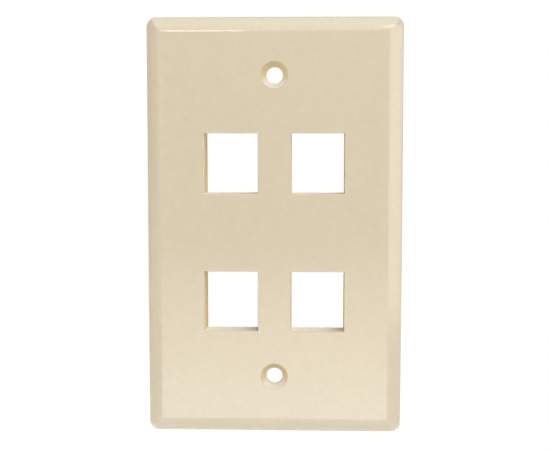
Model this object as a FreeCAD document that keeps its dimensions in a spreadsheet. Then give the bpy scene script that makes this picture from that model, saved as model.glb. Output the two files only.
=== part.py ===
"""Four-port keystone faceplate: a single-gang wall plate moulded in one piece.

The plate hangs upright. X runs across it, Z up it, and the face looks towards -Y. The origin is
on the wall plane, midway between the two fixing screws, so the rim of the plate lies at Y = 0 and
the keystone ports reach past it into the wall box. Depths named from the face run towards +Y.
Sizes are in millimetres and degrees.
"""
import FreeCAD, Part
import math
import os
import Sketcher

NODE = "faceplate"

SIZES = {
    # Plate and its rolled border
    "plate_width": 70.4,
    "plate_height": 115.0,
    "plate_depth": 5.6,  # from the face to the wall plane
    "roll_width": 4.0,  # from the flat of the face to the outline
    "crease_angle": 11.0,  # slope of the roll where it leaves the flat
    "brow_angle": 45.0,  # slope of the roll where the edge round takes over
    "edge_radius": 1.0,  # between the roll and the side wall
    "corner_radius": 2.6,
    "crease_radius": 2.0,
    # Hollow back
    "face_wall": 2.4,
    "rim_wall": 1.8,
    "recess_corner": 1.4,
    "recess_radius": 1.0,
    # Fixing screws
    "screw_spacing": 83.34,
    "screw_hole": 4.6,
    "countersink": 7.6,
    "countersink_angle": 82.0,
    "boss_diameter": 10.0,
    "boss_height": 1.1,  # behind the face wall
    # Keystone ports: two columns by two rows
    "column_spacing": 23.8,
    "row_spacing": 38.1,
    "group_drop": 1.5,  # the middle of the ports lies below the middle of the screws
    "port_width": 14.7,
    "port_height": 16.5,
    "port_edge_radius": 0.3,
    "collar_depth": 9.6,  # from the face to the rear of the port
    "collar_wall": 1.6,
    "collar_corner": 0.8,
    "catch_depth": 8.0,  # from the face to the ledges of both catches
    "catch_ramp": 0.9,  # rise of the lead-in on the rear of each catch
    "latch_shelf": 4.0,  # from the face to the latch pocket
    "latch_rise": 4.0,  # the latch pocket above the opening
    "latch_overhang": 2.0,  # how far the upper catch hangs into its pocket
    "hook_shelf": 6.8,  # from the face to the hook pocket
    "hook_fall": 2.0,  # the hook pocket below the opening
    "hook_overhang": 1.4,  # how far the lower catch stands up in its pocket
    "window_width": 9.0,  # slots through the collar into both pockets
    # Ribs that tie the ports to the rim
    "rib_wall": 1.2,
    "rib_height": 1.8,
}

# Places shared by several sketches, as expressions of the sheet's cells
HALF_WIDTH = "Sizes.plate_width / 2"
HALF_HEIGHT = "Sizes.plate_height / 2"
FLOOR_DEPTH = "(Sizes.plate_depth - Sizes.face_wall)"
PORT_X = "(-Sizes.column_spacing / 2)"
PORT_Z = "(-Sizes.group_drop - Sizes.row_spacing / 2)"
MARGIN = 1.0  # how far a cutting outline runs past the solid


# ---- Document helpers -----------------------------------------------------------------------


def make_sheet(doc):
    """Put the driving sizes in a spreadsheet, one named cell each."""
    sheet = doc.addObject("Spreadsheet::Sheet", "Sizes")
    for row, (name, value) in enumerate(SIZES.items(), start=1):
        sheet.set(f"A{row}", name)
        sheet.set(f"B{row}", str(value))
        sheet.setAlias(f"B{row}", name)
    doc.recompute()


def origin_feature(body, role):
    """Return one of the body's own origin planes or axes."""
    return next(item for item in body.Origin.OriginFeatures if item.Role == role)


def add_sketch(body, name, plane, offset=None):
    """Attach a new sketch to an origin plane, moved along that plane's normal by an expression."""
    sketch = body.newObject("Sketcher::SketchObject", name)
    sketch.AttachmentSupport = [(origin_feature(body, plane), "")]
    sketch.MapMode = "FlatFace"
    if offset:
        sketch.setExpression("AttachmentOffset.Base.z", offset)
    return sketch


def pin_point(sketch, place):
    """Add a construction point held at two expressions, and return its index."""
    point = sketch.addGeometry(Part.Point(FreeCAD.Vector(1, 1, 0)), True)
    for axis, expression in zip(("DistanceX", "DistanceY"), place):
        constraint = sketch.addConstraint(Sketcher.Constraint(axis, -1, 1, point, 1, 1.0))
        sketch.setExpression(f"Constraints[{constraint}]", expression)
    return point


def arc_between(start, end):
    """Return a sixty degree arc between two spots that bulges away from the sketch's origin."""
    chord = end - start
    half = (start + end) / 2
    normal = FreeCAD.Vector(-chord.y, chord.x, 0) * math.sqrt(0.75)
    centre = min((half + normal, half - normal), key=lambda spot: spot.Length)
    angles = [math.atan2(spot.y - centre.y, spot.x - centre.x) for spot in (start, end)]
    turn = (angles[1] - angles[0]) % math.tau
    circle = Part.Circle(centre, FreeCAD.Vector(0, 0, 1), chord.Length)
    if turn < math.pi:
        return Part.ArcOfCircle(circle, angles[0], angles[0] + turn), (1, 2)
    return Part.ArcOfCircle(circle, angles[1], angles[1] + math.tau - turn), (2, 1)


def add_outline(sketch, corners):
    """Draw a closed outline. A corner is (across, up) or (across, up, radius of the arc to the next)."""
    points = [pin_point(sketch, corner[:2]) for corner in corners]
    sketch.recompute()
    spots = [sketch.getPoint(point, 1) for point in points]
    for number, corner in enumerate(corners):
        following = (number + 1) % len(corners)
        if len(corner) == 3:
            shape, ends = arc_between(spots[number], spots[following])
        else:
            shape, ends = Part.LineSegment(spots[number], spots[following]), (1, 2)
        edge = sketch.addGeometry(shape)
        for end, point in zip(ends, (points[number], points[following])):
            sketch.addConstraint(Sketcher.Constraint("Coincident", edge, end, point, 1))
        if len(corner) == 3:
            radius = sketch.addConstraint(Sketcher.Constraint("Radius", edge, shape.Radius))
            sketch.setExpression(f"Constraints[{radius}]", corner[2])


def add_rectangle(sketch, left, right, bottom, top):
    """Draw a rectangle between four expressions."""
    add_outline(sketch, [(left, bottom), (right, bottom), (right, top), (left, top)])


def add_circle(sketch, place, diameter):
    """Draw a circle at a pinned point."""
    point = pin_point(sketch, place)
    sketch.recompute()
    spot = sketch.getPoint(point, 1)
    circle = sketch.addGeometry(Part.Circle(spot, FreeCAD.Vector(0, 0, 1), 1.0))
    sketch.addConstraint(Sketcher.Constraint("Coincident", circle, 3, point, 1))
    size = sketch.addConstraint(Sketcher.Constraint("Diameter", circle, 2.0))
    sketch.setExpression(f"Constraints[{size}]", diameter)


def add_feature(body, kind, name, sketch, length=None, **settings):
    """Add a Pad or Pocket of a sketch and recompute the document."""
    feature = body.newObject(f"PartDesign::{kind}", name)
    feature.Profile = sketch
    for setting, value in settings.items():
        setattr(feature, setting, value)
    if length:
        feature.setExpression("Length", length)
    sketch.Visibility = False
    body.Document.recompute()
    return feature


def add_mirror(body, name, plane):
    """Add a mirror in an origin plane, for a MultiTransform to use."""
    mirror = body.newObject("PartDesign::Mirrored", name)
    mirror.MirrorPlane = (origin_feature(body, plane), [""])
    return mirror


def add_pattern(body, name, originals, *directions):
    """Repeat features once along one or two axes, each given as (axis, spacing)."""
    pattern = body.newObject("PartDesign::LinearPattern", name)
    pattern.Originals = originals
    for suffix, (axis, spacing) in zip(("", "2"), directions):
        setattr(pattern, f"Direction{suffix}", (origin_feature(body, axis), [""]))
        setattr(pattern, f"Occurrences{suffix}", 2)
        pattern.setExpression(f"Length{suffix}", spacing)
    body.Tip = pattern
    body.Document.recompute()
    return pattern


def add_fillet(body, name, radius, wanted):
    """Round the edges of the body so far that pass a test."""
    base = body.Tip
    chosen = [f"Edge{number}" for number, edge in enumerate(base.Shape.Edges, 1) if wanted(edge)]
    fillet = body.newObject("PartDesign::Fillet", name)
    fillet.Base = (base, chosen)
    fillet.setExpression("Radius", radius)
    body.Document.recompute()


def lies_at(edge, axis, place):
    """Tell whether an edge lies in the plane where an axis has this value."""
    box = edge.BoundBox
    low, high = getattr(box, f"{axis}Min"), getattr(box, f"{axis}Max")
    return abs(low - place) < 1e-4 and abs(high - place) < 1e-4


def runs_along(edge, axis):
    """Tell whether an edge is a straight line parallel to an axis."""
    box = edge.BoundBox
    others = [name for name in ("X", "Y", "Z") if name != axis]
    return all(getattr(box, f"{name}Length") < 1e-4 for name in others)


# ---- Plate ----------------------------------------------------------------------------------


class Roll:
    """The rolled border in section, as expressions of its sizes.

    The flat of the face ends in a crease, from which the roll turns down in one arc until the
    edge round carries it on into the side wall.
    """

    FACE = "-Sizes.plate_depth"
    CREASE_SINE, BROW_SINE = "sin(Sizes.crease_angle)", "sin(Sizes.brow_angle)"
    EDGE_SHARE = f"Sizes.edge_radius * (1 - {BROW_SINE})"
    RADIUS = f"((Sizes.roll_width - {EDGE_SHARE}) / ({BROW_SINE} - {CREASE_SINE}))"
    CENTRE_DEPTH = f"({FACE} + {RADIUS} * cos(Sizes.crease_angle))"
    BROW_DEPTH = f"({CENTRE_DEPTH} - {RADIUS} * cos(Sizes.brow_angle))"
    WALL_DEPTH = f"({BROW_DEPTH} + Sizes.edge_radius * cos(Sizes.brow_angle))"
    # Where the roll passes over the centre of a corner
    CORNER_REACH = f"({RADIUS} * {CREASE_SINE} + Sizes.roll_width - Sizes.corner_radius)"
    CORNER_DEPTH = f"{CENTRE_DEPTH} - sqrt({RADIUS}^2 - {CORNER_REACH}^2)"


def plate_section(half):
    """Return the plate's cross-section as (across, depth, radius) corners."""
    return [
        (f"-({half})", "0"),
        (half, "0"),
        (half, Roll.WALL_DEPTH, "Sizes.edge_radius"),
        (f"{half} - {Roll.EDGE_SHARE}", Roll.BROW_DEPTH, Roll.RADIUS),
        (f"{half} - Sizes.roll_width", Roll.FACE),
        (f"Sizes.roll_width - {half}", Roll.FACE, Roll.RADIUS),
        (f"{Roll.EDGE_SHARE} - {half}", Roll.BROW_DEPTH, "Sizes.edge_radius"),
        (f"-({half})", Roll.WALL_DEPTH),
    ]


def build_plate(body):
    """Cross two rolled sections, round the corners and hollow the back."""
    section = add_sketch(body, "HeightSection", "YZ_Plane")
    add_outline(section, [(depth, across, *arc) for across, depth, *arc in plate_section(HALF_HEIGHT)])
    add_feature(body, "Pad", "Slab", section, "Sizes.plate_width", SideType="Symmetric")

    # What lies outside the widthwise section is cut away, which mitres the four rolls
    section = add_sketch(body, "WidthSection", "XY_Plane")
    reach = f"{HALF_WIDTH} + {MARGIN}"
    add_rectangle(section, f"-({reach})", reach, f"{Roll.FACE} - {MARGIN}", f"{MARGIN}")
    add_outline(section, plate_section(HALF_WIDTH))
    add_feature(body, "Pocket", "SideRolls", section, Type="ThroughAll", SideType="Symmetric")

    # The roll turned about the centre of each corner
    corner = add_sketch(body, "CornerSection", "XY_Plane", f"{HALF_HEIGHT} - Sizes.corner_radius")
    corner.setExpression("AttachmentOffset.Base.x", f"{HALF_WIDTH} - Sizes.corner_radius")
    radius, far = "Sizes.corner_radius", f"2 * Sizes.corner_radius + {MARGIN}"
    before, behind = f"{Roll.FACE} - {MARGIN}", f"{MARGIN}"
    add_outline(corner, [
        (radius, Roll.WALL_DEPTH, "Sizes.edge_radius"),
        (f"{radius} - {Roll.EDGE_SHARE}", Roll.BROW_DEPTH, Roll.RADIUS),
        ("0", Roll.CORNER_DEPTH),
        ("0", before),
        (far, before),
        (far, behind),
        (radius, behind),
    ])
    turn = add_feature(body, "Groove", "CornerTurn", corner, ReferenceAxis=(corner, ["V_Axis"]),
                       Angle=90, Reversed=True)
    corners = body.newObject("PartDesign::MultiTransform", "Corners")
    corners.Originals = [turn]
    corners.Transformations = [
        add_mirror(body, "CornersAcross", "YZ_Plane"), add_mirror(body, "CornersDown", "XY_Plane")
    ]
    body.Tip = corners
    body.Document.recompute()
    face = -SIZES["plate_depth"]
    add_fillet(body, "FaceCrease", "Sizes.crease_radius", lambda edge: lies_at(edge, "Y", face))


def build_back(body):
    """Hollow the back, and stand the screw bosses and the ribs on its floor."""
    across, up = f"({HALF_WIDTH} - Sizes.rim_wall)", f"({HALF_HEIGHT} - Sizes.rim_wall)"
    recess = add_sketch(body, "RecessOutline", "XZ_Plane")
    add_rectangle(recess, f"-{across}", across, f"-{up}", up)
    add_feature(body, "Pocket", "Recess", recess, FLOOR_DEPTH, Reversed=True)
    add_fillet(body, "RecessCorners", "Sizes.recess_corner", is_recess_corner)
    floor = SIZES["face_wall"] - SIZES["plate_depth"]
    add_fillet(body, "RecessFloor", "Sizes.recess_radius", lambda edge: lies_at(edge, "Y", floor))

    boss = add_sketch(body, "BossOutline", "XZ_Plane", FLOOR_DEPTH)
    add_circle(boss, ("0", "Sizes.screw_spacing / 2"), "Sizes.boss_diameter")
    add_circle(boss, ("0", "-Sizes.screw_spacing / 2"), "Sizes.boss_diameter")
    add_feature(body, "Pad", "ScrewBosses", boss, "Sizes.boss_height", Reversed=True)

    half = "Sizes.rib_wall / 2"
    rows = add_sketch(body, "RowRibOutline", "XZ_Plane", FLOOR_DEPTH)
    add_rectangle(rows, f"-{across}", across, f"{PORT_Z} - {half}", f"{PORT_Z} + {half}")
    rib = add_feature(body, "Pad", "RowRib", rows, "Sizes.rib_height", Reversed=True)
    add_pattern(body, "RowRibs", [rib], ("Z_Axis", "Sizes.row_spacing"))
    columns = add_sketch(body, "ColumnRibOutline", "XZ_Plane", FLOOR_DEPTH)
    add_rectangle(columns, f"{PORT_X} - {half}", f"{PORT_X} + {half}", f"-{up}", up)
    rib = add_feature(body, "Pad", "ColumnRib", columns, "Sizes.rib_height", Reversed=True)
    add_pattern(body, "ColumnRibs", [rib], ("X_Axis", "Sizes.column_spacing"))


def is_recess_corner(edge):
    """Tell whether an edge is one of the four upright corners of the recess."""
    across = SIZES["plate_width"] / 2 - SIZES["rim_wall"]
    return runs_along(edge, "Y") and abs(abs(edge.BoundBox.Center.x) - across) < 1e-4


# ---- Keystone ports -------------------------------------------------------------------------


def port_section():
    """Return the cavity of a port in section, as (depth, up) corners from the wall plane.

    The latch of a jack snaps up behind the catch above the opening, and its fixed hook sits
    behind the catch below. Both catches have a ramp on the rear that leads the jack in.
    """
    def depth(name):
        return f"Sizes.{name} - Sizes.plate_depth"

    top, bottom = f"{PORT_Z} + Sizes.port_height / 2", f"{PORT_Z} - Sizes.port_height / 2"
    latch_top, hook_bottom = f"{top} + Sizes.latch_rise", f"{bottom} - Sizes.hook_fall"
    latch_tip, hook_tip = f"{latch_top} - Sizes.latch_overhang", f"{hook_bottom} + Sizes.hook_overhang"
    latch_mouth, hook_mouth = f"{latch_tip} + Sizes.catch_ramp", f"{hook_tip} - Sizes.catch_ramp"
    front, rear = f"-Sizes.plate_depth - {MARGIN}", f"{depth('collar_depth')} + {MARGIN}"
    return [
        (front, bottom),
        (depth("hook_shelf"), bottom),
        (depth("hook_shelf"), hook_bottom),
        (depth("catch_depth"), hook_bottom),
        (depth("catch_depth"), hook_tip),
        (depth("collar_depth"), hook_mouth),
        (rear, hook_mouth),
        (rear, latch_mouth),
        (depth("collar_depth"), latch_mouth),
        (depth("catch_depth"), latch_tip),
        (depth("catch_depth"), latch_top),
        (depth("latch_shelf"), latch_top),
        (depth("latch_shelf"), top),
        (front, top),
    ]


def build_ports(body):
    """Build the lower left port and repeat it in two columns and two rows."""
    half = "(Sizes.port_width / 2 + Sizes.collar_wall)"
    bottom = f"{PORT_Z} - Sizes.port_height / 2 - Sizes.hook_fall - Sizes.collar_wall"
    top = f"{PORT_Z} + Sizes.port_height / 2 + Sizes.latch_rise + Sizes.collar_wall"
    outline = add_sketch(body, "CollarOutline", "XZ_Plane", FLOOR_DEPTH)
    add_rectangle(outline, f"{PORT_X} - {half}", f"{PORT_X} + {half}", bottom, top)
    length = "Sizes.collar_depth - Sizes.face_wall"
    collar = add_feature(body, "Pad", "Collar", outline, length, Reversed=True)

    section = add_sketch(body, "PortSection", "YZ_Plane", PORT_X)
    add_outline(section, port_section())
    cavity = add_feature(body, "Pocket", "PortCavity", section, "Sizes.port_width", SideType="Symmetric")

    # One slot through both walls of the collar clears the pockets behind the shelves
    windows = []
    left, right = f"{PORT_X} - Sizes.window_width / 2", f"{PORT_X} + Sizes.window_width / 2"
    reach = f"Sizes.port_height / 2 + Sizes.collar_wall + {MARGIN}"
    for name, shelf, rise, upward in (
        ("LatchWindow", "latch_shelf", "latch_rise", True),
        ("HookWindow", "hook_shelf", "hook_fall", False),
    ):
        sketch = add_sketch(body, f"{name}Outline", "XY_Plane", PORT_Z)
        front, rear = f"Sizes.{shelf} - Sizes.plate_depth", "Sizes.catch_depth - Sizes.plate_depth"
        add_rectangle(sketch, left, right, front, rear)
        windows.append(
            add_feature(body, "Pocket", name, sketch, f"{reach} + Sizes.{rise}", Reversed=upward)
        )

    add_pattern(
        body, "Ports", [collar, cavity, *windows],
        ("X_Axis", "Sizes.column_spacing"), ("Z_Axis", "Sizes.row_spacing"),
    )
    add_fillet(body, "CollarCorners", "Sizes.collar_corner", is_collar_corner)
    add_fillet(body, "PortEdges", "Sizes.port_edge_radius", is_port_edge)


def is_collar_corner(edge):
    """Tell whether an edge is one of the four outer corners of a port's collar."""
    centre, half = SIZES["column_spacing"] / 2, SIZES["port_width"] / 2 + SIZES["collar_wall"]
    across = abs(abs(edge.BoundBox.Center.x) - centre)
    return runs_along(edge, "Y") and edge.BoundBox.YMax > 0 and abs(across - half) < 1e-4


def is_port_edge(edge):
    """Tell whether an edge is one of the four straight edges of a port's opening in the face."""
    sides = SIZES["port_width"], SIZES["port_height"]
    on_face = lies_at(edge, "Y", -SIZES["plate_depth"])
    return on_face and any(abs(edge.Length - side) < 1e-4 for side in sides)


def build_screw_holes(body):
    """Drill and countersink both screw holes from the face."""
    centres = add_sketch(body, "ScrewCentres", "XZ_Plane", "Sizes.plate_depth")
    add_circle(centres, ("0", "Sizes.screw_spacing / 2"), "Sizes.screw_hole")
    add_circle(centres, ("0", "-Sizes.screw_spacing / 2"), "Sizes.screw_hole")
    hole = body.newObject("PartDesign::Hole", "ScrewHoles")
    hole.Profile = centres
    body.Document.recompute()
    hole.DepthType = "ThroughAll"
    hole.HoleCutType = "Countersink"
    for setting, size in (
        ("Diameter", "screw_hole"),
        ("HoleCutDiameter", "countersink"),
        ("HoleCutCountersinkAngle", "countersink_angle"),
    ):
        hole.setExpression(setting, f"Sizes.{size}")
    body.Document.recompute()


# ---- Build and export -----------------------------------------------------------------------


def check(doc, body):
    """Stop if any object failed, or if a feature left the solid as it was."""
    failed = [item.Name for item in doc.Objects if {"Invalid", "Error"} & set(item.State)]
    if failed:
        raise RuntimeError(f"these objects failed: {failed}")
    volume = 0.0
    for item in body.Group:
        if item.isDerivedFrom("PartDesign::Feature") and not item.Shape.isNull():
            if math.isclose(item.Shape.Volume, volume, rel_tol=1e-9):
                raise RuntimeError(f"{item.Name} changes nothing")
            volume = item.Shape.Volume
    if body.Shape.isNull() or not body.Shape.isValid() or len(body.Shape.Solids) != 1:
        raise RuntimeError("the plate is not one valid solid")


def main():
    """Build the plate in a new document and write its solid."""
    doc = FreeCAD.newDocument("KeystoneFaceplate")
    make_sheet(doc)
    body = doc.addObject("PartDesign::Body", "Faceplate")
    body.Label = NODE
    build_plate(body)
    build_back(body)
    build_ports(body)
    build_screw_holes(body)
    doc.recompute()
    check(doc, body)
    os.makedirs("parts", exist_ok=True)
    body.Shape.exportStep(f"parts/{body.Label}.step")
    print(f"{body.Label}: {body.Shape.Volume:.1f} cubic millimetres")


main()
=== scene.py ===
"""Keystone wall faceplate: the moulded plate's finish, its studio and its camera."""

import logging
import math
from dataclasses import dataclass, field
from enum import Enum
from typing import Any

import bpy
from mathutils import Euler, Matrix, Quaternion, Vector

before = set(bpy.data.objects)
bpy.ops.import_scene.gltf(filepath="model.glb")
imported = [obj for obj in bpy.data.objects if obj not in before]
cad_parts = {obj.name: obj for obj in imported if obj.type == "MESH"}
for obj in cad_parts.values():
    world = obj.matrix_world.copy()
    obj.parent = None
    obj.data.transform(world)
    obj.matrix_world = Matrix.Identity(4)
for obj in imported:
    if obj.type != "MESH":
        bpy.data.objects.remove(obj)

LOG = logging.getLogger("faceplate")
MM = 0.001

Colour = tuple[float, float, float]
WHITE = (1.0, 1.0, 1.0, 1.0)
# The floor's sheen, as the share of the floor's half width and the level there.
SHEEN = [
    (0.0, 0.40),
    (0.08, 0.50),
    (0.167, 0.45),
    (0.267, 1.0),
    (0.40, 0.72),
    (0.533, 0.50),
    (0.667, 0.36),
    (0.80, 0.22),
    (1.0, 0.0),
]


class Ray(Enum):
    """The kinds of ray that a studio surface can answer differently."""

    CAMERA = "Is Camera Ray"
    GLOSSY = "Is Glossy Ray"
    TRANSMISSION = "Is Transmission Ray"


class Sees(Enum):
    """Which part of the plate's shading a lamp takes part in."""

    DIFFUSE = "diffuse"
    GLOSS = "gloss"


class Socket:
    """One output of a shader node, usable in plain arithmetic."""

    def __init__(self, graph: "Graph", link: bpy.types.NodeSocket) -> None:
        """Keeps the graph and the output that further nodes link to."""
        self.graph = graph
        self.link = link

    def _math(self, operation: str, *values: Any) -> "Socket":
        """Adds a Math node.

        Args:
            operation: the Math node's operation.
            values: its operands, as sockets or numbers.

        Returns:
            The node's value.
        """
        inputs = dict(enumerate(values))
        return self.graph.node("ShaderNodeMath", {"operation": operation}, inputs)["Value"]

    def __add__(self, other: Any) -> "Socket":
        """The sum with another value."""
        return self._math("ADD", self, other)

    def __radd__(self, other: Any) -> "Socket":
        """The sum with a number on the left."""
        return self._math("ADD", other, self)

    def __sub__(self, other: Any) -> "Socket":
        """This value less another."""
        return self._math("SUBTRACT", self, other)

    def __rsub__(self, other: Any) -> "Socket":
        """A number less this value."""
        return self._math("SUBTRACT", other, self)

    def __mul__(self, other: Any) -> "Socket":
        """The product with another value."""
        return self._math("MULTIPLY", self, other)

    def __rmul__(self, other: Any) -> "Socket":
        """The product with a number on the left."""
        return self._math("MULTIPLY", other, self)

    def absolute(self) -> "Socket":
        """This value without its sign."""
        return self._math("ABSOLUTE", self)

    def above(self, limit: float) -> "Socket":
        """1 where this value is greater than the limit, and 0 elsewhere."""
        return self._math("GREATER_THAN", self, limit)

    def below(self, limit: float) -> "Socket":
        """1 where this value is less than the limit, and 0 elsewhere."""
        return self._math("LESS_THAN", self, limit)

    def maximum(self, other: Any) -> "Socket":
        """The larger of this value and another."""
        return self._math("MAXIMUM", self, other)


class Graph:
    """A node tree that is emptied and rebuilt from expressions."""

    def __init__(self, tree: bpy.types.NodeTree) -> None:
        """Empties the tree."""
        self.tree = tree
        tree.nodes.clear()

    def node(self, kind: str, settings: dict[str, Any], inputs: dict[Any, Any]) -> dict[str, Socket]:
        """Adds one node.

        Args:
            kind: the node's type.
            settings: properties set before the inputs; "stops" fills a colour ramp.
            inputs: values or sockets, by input name or number.

        Returns:
            The node's outputs by name.
        """
        made = self.tree.nodes.new(kind)
        for name, value in settings.items():
            if name == "stops":
                self._fill_ramp(made.color_ramp, value)
            else:
                setattr(made, name, value)
        for key, value in inputs.items():
            if isinstance(value, Socket):
                self.tree.links.new(value.link, made.inputs[key])
            else:
                made.inputs[key].default_value = value
        return {output.name: Socket(self, output) for output in made.outputs if output.enabled}

    @staticmethod
    def _fill_ramp(ramp: bpy.types.ColorRamp, stops: list[tuple[float, float]]) -> None:
        """Sets a ramp's stops, with the level in its alpha too, where it is a plain number.

        Args:
            ramp: the ramp of a new node, which has two stops.
            stops: position and level of each stop, in order.
        """
        while len(ramp.elements) < len(stops):
            ramp.elements.new(1.0)
        for element, (position, level) in zip(ramp.elements, stops):
            element.position = position
            element.color = (level, level, level, level)

    def ease(self, value: Socket, start: float, end: float) -> Socket:
        """A smooth rise from 0 to 1.

        Args:
            value: the value that it follows.
            start: where it leaves 0.
            end: where it reaches 1.

        Returns:
            The eased value.
        """
        settings = {"interpolation_type": "SMOOTHSTEP"}
        inputs = {"Value": value, "From Min": start, "From Max": end}
        return self.node("ShaderNodeMapRange", settings, inputs)["Result"]

    def blend(self, share: Socket, first: Colour | Socket, second: Colour | Socket) -> Socket:
        """A colour between two others.

        Args:
            share: how far it lies towards the second.
            first: the colour where the share is 0.
            second: the colour where the share is 1.

        Returns:
            The colour.
        """
        tones = [tone if isinstance(tone, Socket) else (*tone, 1.0) for tone in (first, second)]
        inputs = {"Factor": share, "A": tones[0], "B": tones[1]}
        return self.node("ShaderNodeMix", {"data_type": "RGBA"}, inputs)["Result"]

    def any_ray(self, *rays: Ray) -> Socket:
        """A mask that is 1 for the named kinds of ray.

        Args:
            rays: the kinds of ray.

        Returns:
            The mask.
        """
        path = self.node("ShaderNodeLightPath", {}, {})
        mask = path[rays[0].value]
        for ray in rays[1:]:
            mask = mask.maximum(path[ray.value])
        return mask


@dataclass(frozen=True)
class IvoryPlastic:
    """Glossy moulded ivory plastic, with a faint mottle and a fine orange peel.

    The back and the holes' walls are matt. The walls of the ports and the seats of the screws have
    a painted shade, a deeper tone, with painted light making it paler where it faces up. The lengths
    say where the finish changes: each depth is in front of the wall plane, and the rest is measured
    from the plate's middle.
    """

    name: str = "ivory_plastic"
    colour: Colour = (0.731, 0.629, 0.454)
    mottle_colour: Colour = (0.667, 0.567, 0.396)
    # Painted shade: a deeper, more saturated tone for the shaded walls of the ports and the screw
    # seats.
    painted_shade_colour: Colour = (0.735, 0.590, 0.345)
    # Painted light: a paler tone where the holes' walls face up, towards the lamps above.
    painted_light_colour: Colour = (0.815, 0.755, 0.640)
    painted_light_rise: tuple[float, float] = (0.05, 0.55)
    mottle_waves: float = 620.0
    mottle_detail: float = 4.0
    peel_waves: float = 2600.0
    peel_detail: float = 2.0
    peel_strength: float = 0.06
    peel_height: float = 0.05 * MM
    roughness: float = 0.15
    roughness_spread: float = 0.04
    ior: float = 1.5
    specular: float = 0.25
    coat: float = 0.5
    coat_roughness: float = 0.03
    face_depth: float = 5.45 * MM
    floor_depth: float = 3.3 * MM
    flat_half: tuple[float, float] = (30.5 * MM, 47.0 * MM)
    recess_half: tuple[float, float] = (33.6 * MM, 55.9 * MM)
    port_place: tuple[float, float] = (11.9 * MM, 19.05 * MM)
    port_half: tuple[float, float] = (7.45 * MM, 8.35 * MM)
    port_drop: float = 1.5 * MM
    screw_height: float = 41.67 * MM
    seat_half: float = 3.9 * MM
    seat_floor: float = 3.8 * MM

    def build(self) -> bpy.types.Material:
        """Makes the material.

        Returns:
            The finished material.
        """
        material = bpy.data.materials.new(self.name)
        material.use_nodes = True
        graph = Graph(material.node_tree)
        place = graph.node("ShaderNodeTexCoord", {}, {})["Object"]
        mottle = self._noise(graph, place, self.mottle_waves, self.mottle_detail)
        skin = graph.blend(mottle, self.colour, self.mottle_colour)
        peel = self._peel(graph, place)
        polished = self._polished(graph, mottle, skin, peel)
        matt = self._matt(graph, place, skin, peel)
        inputs = {0: self._inner_mask(graph, place), 1: polished, 2: matt}
        shader = graph.node("ShaderNodeMixShader", {}, inputs)["Shader"]
        graph.node("ShaderNodeOutputMaterial", {}, {"Surface": shader})
        return material

    def _polished(self, graph: Graph, mottle: Socket, skin: Socket, peel: Socket) -> Socket:
        """The glossy face and border.

        Args:
            graph: the material's graph.
            mottle: the mottle's value.
            skin: the mottled colour.
            peel: the normal with the orange peel.

        Returns:
            The shader.
        """
        inputs = {
            "Base Color": skin,
            "Roughness": self.roughness + (mottle - 0.5) * self.roughness_spread,
            "Normal": peel,
            "IOR": self.ior,
            "Specular IOR Level": self.specular,
            "Coat Weight": self.coat,
            "Coat Roughness": self.coat_roughness,
            "Coat IOR": self.ior,
        }
        return graph.node("ShaderNodeBsdfPrincipled", {}, inputs)["BSDF"]

    def _matt(self, graph: Graph, place: Socket, skin: Socket, peel: Socket) -> Socket:
        """The unpolished back and holes.

        Args:
            graph: the material's graph.
            place: the plate's own coordinates.
            skin: the mottled colour.
            peel: the normal with the orange peel.

        Returns:
            The shader.
        """
        inputs = {
            # Painted shade in the ports and screw seats, turning to painted light where they face
            # up.
            "Base Color": graph.blend(self._painted_shade_mask(graph, place), skin, self._painted_shade_and_light(graph)),
            "Roughness": 1.0,
            "Normal": peel,
            "Specular IOR Level": 0.0,
        }
        return graph.node("ShaderNodeBsdfPrincipled", {}, inputs)["BSDF"]

    def _painted_shade_and_light(self, graph: Graph) -> Socket:
        """Painted shade inside the holes, a deeper tone, with painted light making it paler where it
        faces up.

        Args:
            graph: the material's graph.

        Returns:
            Its colour.
        """
        facing = graph.node("ShaderNodeTexCoord", {}, {})["Normal"]
        rise = graph.node("ShaderNodeSeparateXYZ", {}, {"Vector": facing})["Z"]
        # Painted shade, eased into painted light as the surface turns to face up.
        return graph.blend(graph.ease(rise, *self.painted_light_rise), self.painted_shade_colour, self.painted_light_colour)

    def _inner_mask(self, graph: Graph, place: Socket) -> Socket:
        """The surfaces that the mould leaves unpolished: the back and the holes' walls.

        Args:
            graph: the material's graph.
            place: the plate's own coordinates.

        Returns:
            1 there, and 0 on the polished face and border.
        """
        parts = graph.node("ShaderNodeSeparateXYZ", {}, {"Vector": place})
        across, up = parts["X"].absolute(), parts["Z"].absolute()
        masks = []
        for depth, (half_width, half_height) in (
            (self.face_depth, self.flat_half),
            (self.floor_depth, self.recess_half),
        ):
            inside = across.below(half_width) * up.below(half_height)
            masks.append(inside * parts["Y"].above(-depth))
        return masks[0].maximum(masks[1])

    def _painted_shade_mask(self, graph: Graph, place: Socket) -> Socket:
        """The walls of the ports and the seats of the screws, where the shade is painted.

        Args:
            graph: the material's graph.
            place: the plate's own coordinates.

        Returns:
            1 there, and 0 elsewhere behind the face.
        """
        parts = graph.node("ShaderNodeSeparateXYZ", {}, {"Vector": place})
        across, up = parts["X"].absolute(), parts["Z"]
        off_column = (across - self.port_place[0]).absolute()
        off_row = ((up + self.port_drop).absolute() - self.port_place[1]).absolute()
        ports = off_column.below(self.port_half[0]) * off_row.below(self.port_half[1])
        off_screw = (up.absolute() - self.screw_height).absolute()
        seats = across.below(self.seat_half) * off_screw.below(self.seat_half)
        return ports.maximum(seats * parts["Y"].below(-self.seat_floor))

    def _peel(self, graph: Graph, place: Socket) -> Socket:
        """The fine orange peel of the moulded skin.

        Args:
            graph: the material's graph.
            place: the plate's own coordinates.

        Returns:
            The normal with the orange peel.
        """
        inputs = {
            "Strength": self.peel_strength,
            "Distance": self.peel_height,
            "Height": self._noise(graph, place, self.peel_waves, self.peel_detail),
        }
        return graph.node("ShaderNodeBump", {}, inputs)["Normal"]

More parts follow.
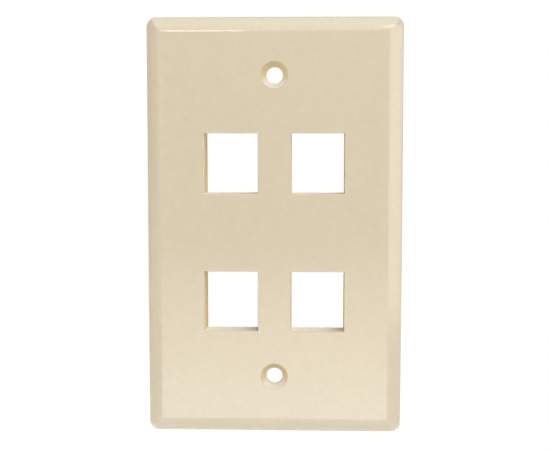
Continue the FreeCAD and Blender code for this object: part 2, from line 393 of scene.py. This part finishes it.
    @staticmethod
    def _noise(graph: Graph, place: Socket, waves: float, detail: float) -> Socket:
        """Smooth noise over the plate.

        Args:
            graph: the material's graph.
            place: the coordinates it is laid out in.
            waves: how many it has per metre.
            detail: its octaves.

        Returns:
            A value about one half.
        """
        inputs = {"Vector": place, "Scale": waves, "Detail": detail}
        return graph.node("ShaderNodeTexNoise", {}, inputs)["Fac"]


@dataclass
class Faceplate:
    """The moulded plate, carried over from the frame and given its finish."""

    node: str = "faceplate"
    finish: IvoryPlastic = field(default_factory=IvoryPlastic)

    def dress(self) -> bpy.types.Object:
        """Gives the plate its finish.

        Returns:
            The plate.
        """
        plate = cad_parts[self.node]
        for slot in plate.material_slots:
            slot.material = self.finish.build()
        LOG.info("%s dressed in %s", plate.name, self.finish.name)
        return plate


@dataclass
class Lamp:
    """One soft rectangular lamp that faces a point of the plate.

    Its place and size are in metres, and its lean is in degrees about its own axis. Its radiance
    is its brightness, whatever its size.
    """

    name: str
    place: Vector
    size: tuple[float, float]
    radiance: float
    sees: Sees
    target: Vector = field(default_factory=lambda: Vector((0.0, 0.0, 0.0)))
    lean: float = 0.0

    def light(self) -> bpy.types.Object:
        """Sets the lamp up.

        Returns:
            The lamp.
        """
        data = bpy.data.lights.new(self.name, "AREA")
        data.shape = "RECTANGLE"
        data.size, data.size_y = self.size
        data.energy = self.radiance * math.pi * self.size[0] * self.size[1]
        lamp = bpy.data.objects.new(self.name, data)
        lamp.location = self.place
        aim = (self.target - self.place).to_track_quat("-Z", "Y")
        turn = Quaternion((0.0, 0.0, 1.0), math.radians(self.lean))
        lamp.rotation_euler = (aim @ turn).to_euler()
        lamp.visible_camera = False
        lamp.visible_glossy = self.sees is not Sees.DIFFUSE
        lamp.visible_diffuse = self.sees is not Sees.GLOSS
        bpy.context.scene.collection.objects.link(lamp)
        LOG.info("%s lit", self.name)
        return lamp


def from_plate(azimuth: float, elevation: float, distance: float) -> Vector:
    """A point seen from the plate's middle.

    Args:
        azimuth: degrees to the right of straight ahead.
        elevation: degrees above level.
        distance: metres from the plate.

    Returns:
        The point.
    """
    turn, rise = math.radians(azimuth), math.radians(elevation)
    level = math.cos(rise)
    return distance * Vector((math.sin(turn) * level, -math.cos(turn) * level, math.sin(rise)))


@dataclass
class Studio:
    """White surroundings, a pale floor below the plate and its lamps.

    The floor shows its shadow within the fade's first distance of its middle, and is white past
    the second. In the plate's gloss it shines, most of all in the lane straight ahead, which
    narrows off between the lane's two distances. Distances are in metres.
    """

    fill: float = 0.12
    floor_drop: float = 160 * MM
    floor_half: float = 1.5
    floor_colour: Colour = (0.86, 0.86, 0.86)
    fade: tuple[float, float] = (0.13, 0.26)
    lane: tuple[float, float] = (0.16, 0.32)
    lane_shine: float = 4.5
    side_shine: float = 1.0

    def build(self) -> None:
        """Builds the surroundings, the floor and the lamps."""
        bpy.context.scene.view_settings.view_transform = "Standard"
        self._world()
        self._floor()
        for lamp in self.lamps():
            lamp.light()

    def _world(self) -> None:
        """White behind the plate and in its gloss, and soft light from the front of the room."""
        world = bpy.data.worlds.new("white_room")
        world.use_nodes = True
        bpy.context.scene.world = world
        graph = Graph(world.node_tree)
        around = graph.node("ShaderNodeTexCoord", {}, {})["Generated"]
        ahead = graph.node("ShaderNodeSeparateXYZ", {}, {"Vector": around})["Y"].below(0.0)
        soft, white = [
            graph.node("ShaderNodeBackground", {}, {"Color": WHITE, "Strength": strength})
            for strength in (self.fill, 1.0)
        ]
        front = graph.node("ShaderNodeMixShader", {}, {0: ahead, 2: soft["Background"]})
        shown = graph.any_ray(Ray.CAMERA, Ray.GLOSSY, Ray.TRANSMISSION)
        inputs = {0: shown, 1: front["Shader"], 2: white["Background"]}
        room = graph.node("ShaderNodeMixShader", {}, inputs)
        graph.node("ShaderNodeOutputWorld", {}, {"Surface": room["Shader"]})

    def _floor(self) -> bpy.types.Object:
        """The floor below the plate.

        Returns:
            The floor.
        """
        half = self.floor_half
        outline = [(-half, -half, 0), (half, -half, 0), (half, half, 0), (-half, half, 0)]
        mesh = bpy.data.meshes.new("floor")
        mesh.from_pydata(outline, [], [(0, 1, 2, 3)])
        mesh.materials.append(self._floor_finish())
        floor = bpy.data.objects.new("floor", mesh)
        floor.location = (0.0, 0.0, -self.floor_drop)
        bpy.context.scene.collection.objects.link(floor)
        return floor

    def _floor_finish(self) -> bpy.types.Material:
        """The pale finish that fades to white beyond the plate's shadow.

        Returns:
            The finished material.
        """
        material = bpy.data.materials.new("pale_floor")
        material.use_nodes = True
        graph = Graph(material.node_tree)
        place = graph.node("ShaderNodeTexCoord", {}, {})["Object"]
        reach = graph.node("ShaderNodeVectorMath", {"operation": "LENGTH"}, {0: place})["Value"]
        gloss = graph.any_ray(Ray.GLOSSY)
        plain, bright = [
            graph.node("ShaderNodeEmission", {}, {"Color": WHITE, "Strength": strength})
            for strength in (1.0, 1.0 + self.lane_shine)
        ]
        inputs = {0: gloss * self._sheen(graph, place, reach), 1: plain["Emission"]}
        white = graph.node("ShaderNodeMixShader", {}, {**inputs, 2: bright["Emission"]})
        shadow = graph.node("ShaderNodeBsdfDiffuse", {}, {"Color": (*self.floor_colour, 1.0)})
        seen = graph.any_ray(Ray.CAMERA, Ray.TRANSMISSION) * graph.ease(reach, *self.fade)
        inputs = {0: seen.maximum(gloss), 1: shadow["BSDF"], 2: white["Shader"]}
        shown = graph.node("ShaderNodeMixShader", {}, inputs)
        graph.node("ShaderNodeOutputMaterial", {}, {"Surface": shown["Shader"]})
        return material

    def _sheen(self, graph: Graph, place: Socket, reach: Socket) -> Socket:
        """How far the floor outshines white in the plate's gloss.

        Args:
            graph: the floor's graph.
            place: the floor's own coordinates.
            reach: the distance from the floor's middle.

        Returns:
            0 for plain white, and 1 for the brightest that the lane can be.
        """
        share = reach * (1.0 / self.floor_half)
        ramp = graph.node("ShaderNodeValToRGB", {"stops": SHEEN}, {"Fac": share})
        aside = graph.node("ShaderNodeSeparateXYZ", {}, {"Vector": place})["X"].absolute()
        lane = 1.0 - graph.ease(aside, *self.lane)
        shine = self.side_shine + lane * (self.lane_shine - self.side_shine)
        return ramp["Alpha"] * shine * (1.0 / self.lane_shine)

    @staticmethod
    def lamps() -> list[Lamp]:
        """The lamps and cards round the plate.

        Returns:
            The lamps, not lit yet.
        """
        return [
            Lamp("key_lamp", from_plate(25, 50, 0.8), (0.75, 0.45), 3.3, Sees.DIFFUSE),
            Lamp("right_lamp", from_plate(66, 0, 0.8), (0.3, 0.25), 4.1, Sees.DIFFUSE),
            Lamp("left_lamp", from_plate(-72, -10, 0.8), (0.4, 0.2), 11.0, Sees.DIFFUSE),
            Lamp("front_lamp", from_plate(0, 15, 0.5), (0.31, 0.25), 2.7, Sees.DIFFUSE),
            Lamp("ceiling_card", from_plate(0, 75, 0.8), (1.0, 0.73), 2.8, Sees.GLOSS),
            Lamp("upper_card", from_plate(0, 40, 0.8), (1.0, 0.28), 1.9, Sees.GLOSS),
            Lamp("right_card", from_plate(62, 0, 0.8), (0.75, 0.50), 2.5, Sees.GLOSS),
            Lamp("near_card", from_plate(32, 0, 0.8), (0.25, 0.50), 1.9, Sees.GLOSS),
            Lamp("left_card", from_plate(-32, 0, 0.8), (0.25, 0.50), 1.3, Sees.GLOSS),
            Lamp(
                "dash_lamp", Vector((0.0790, -0.538, 0.650)), (0.010, 0.05), 30.0, Sees.GLOSS,
                target=Vector((0.0314, -0.0052, 0.0548)), lean=-5.0,
            ),
            Lamp(
                "crease_lamp", Vector((-0.098, -0.727, 0.350)), (0.075, 0.09), 25.0, Sees.GLOSS,
                target=Vector((-0.02, -0.0056, 0.0536)),
            ),
            Lamp("back_lamp", Vector((0.35, 0.60, 0.35)), (0.4, 0.4), 6.6, Sees.DIFFUSE),
            Lamp("rear_lamp", Vector((0.0, 0.80, 0.15)), (0.6, 0.6), 1.1, Sees.DIFFUSE),
        ]


@dataclass
class Camera:
    """The camera in front of the plate, a little above and to its right.

    Its place is in metres, its tilt in degrees and its lens in millimetres.
    """

    place: Vector = field(default_factory=lambda: Vector((12.12, -317.36, 25.7)) * MM)
    tilt: tuple[float, float, float] = (85.4197, -0.0255, 2.1920)
    lens: float = 74.549
    clip_start: float = 1 * MM

    def set_up(self) -> bpy.types.Object:
        """Makes the camera and hands it to the scene.

        Returns:
            The camera.
        """
        data = bpy.data.cameras.new("camera")
        data.lens = self.lens
        data.clip_start = self.clip_start
        camera = bpy.data.objects.new("camera", data)
        camera.location = self.place
        camera.rotation_euler = Euler([math.radians(angle) for angle in self.tilt])
        bpy.context.scene.collection.objects.link(camera)
        bpy.context.scene.camera = camera
        return camera


def main() -> None:
    """Dresses the plate and builds the studio and the camera round it."""
    logging.basicConfig(level=logging.INFO)
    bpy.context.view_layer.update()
    Faceplate().dress()
    Studio().build()
    Camera().set_up()


if __name__ == "__main__":
    main()
